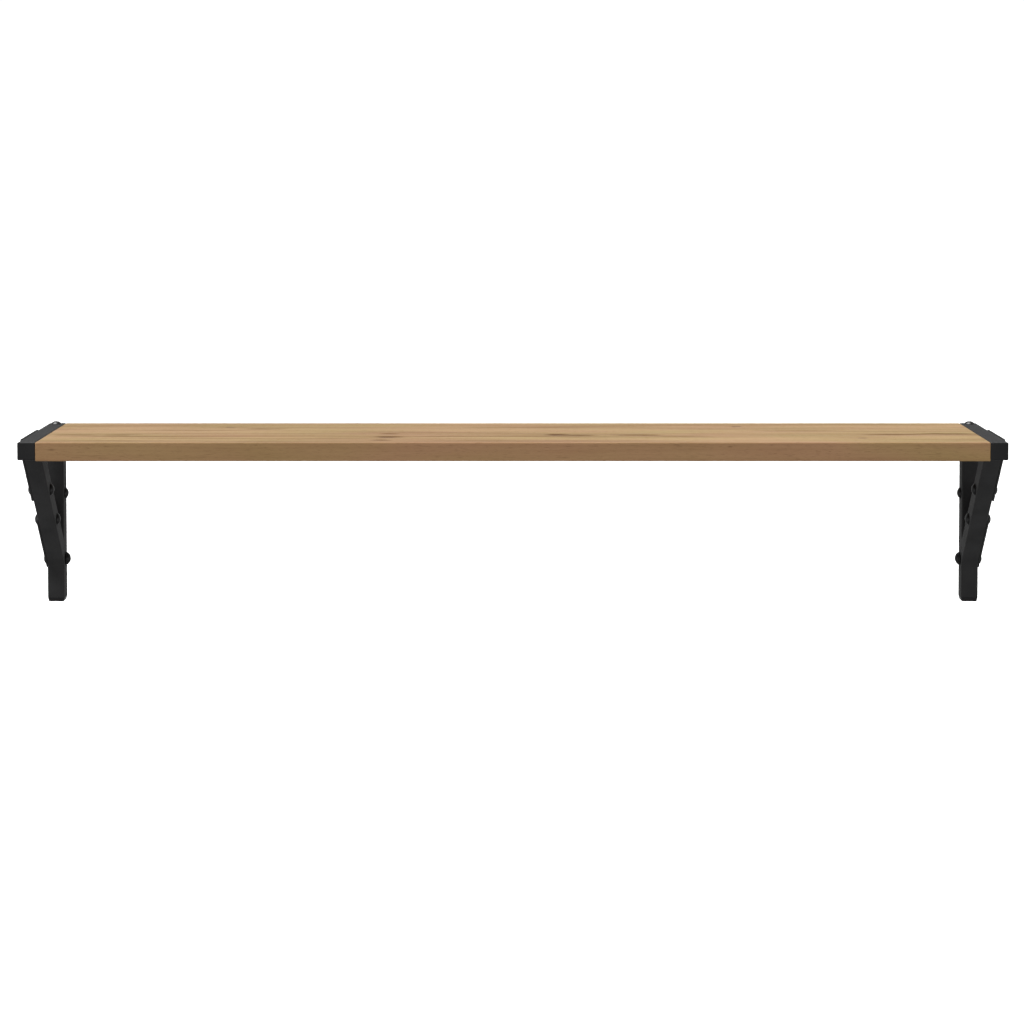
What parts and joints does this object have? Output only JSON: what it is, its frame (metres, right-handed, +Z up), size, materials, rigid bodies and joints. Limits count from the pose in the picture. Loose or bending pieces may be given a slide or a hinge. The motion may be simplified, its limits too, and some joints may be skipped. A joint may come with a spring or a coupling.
{
  "type": "wall shelf with brackets",
  "caption": "Long solid board held at its ends between two braced square-tube wall brackets with gusset plates and domed bolts.",
  "frame": {"origin": "centre of the rectangle of the four wall keyholes, on the wall plane", "axes": "+X along the shelf to its right end seen from the room, +Y into the wall, +Z up"},
  "size_m": [1.1116, 0.2, 0.2135],
  "materials": {
    "board_wood": "oiled light-brown hardwood, satin, straight grain along the board with a few small knots",
    "coated_steel": "matt black powder coat with a fine texture",
    "plug_plastic": "black moulded plastic, matt",
    "black_fastener": "black coated steel, semi-gloss domes",
    "plain_steel": "bright milled steel",
    "insert_brass": "turned brass"
  },
  "bodies": {
    "root": {"board": "board_wood", "arm_left": "coated_steel", "arm_right": "coated_steel", "leg_left": "coated_steel", "leg_right": "coated_steel", "brace_left": "coated_steel", "brace_right": "coated_steel", "upper_gusset_left": "coated_steel", "upper_gusset_right": "coated_steel", "lower_gusset_left": "coated_steel", "lower_gusset_right": "coated_steel", "arm_plug_left": "plug_plastic", "arm_plug_right": "plug_plastic", "foot_plug_left": "plug_plastic", "foot_plug_right": "plug_plastic", "leg_block_left": "plain_steel", "leg_block_right": "plain_steel", "top_bolt_left": "black_fastener", "top_bolt_right": "black_fastener", "board_bolts_left": "black_fastener", "board_bolts_right": "black_fastener", "board_inserts_left": "insert_brass", "board_inserts_right": "insert_brass", "frame_bolts_left": "black_fastener", "frame_bolts_right": "black_fastener", "frame_nuts_left": "black_fastener", "frame_nuts_right": "black_fastener", "joint_bolt_left": "black_fastener", "joint_bolt_right": "black_fastener", "joint_nut_left": "black_fastener", "joint_nut_right": "black_fastener", "joint_washer_left": "black_fastener", "joint_washer_right": "black_fastener"}
  },
  "joints": []
}
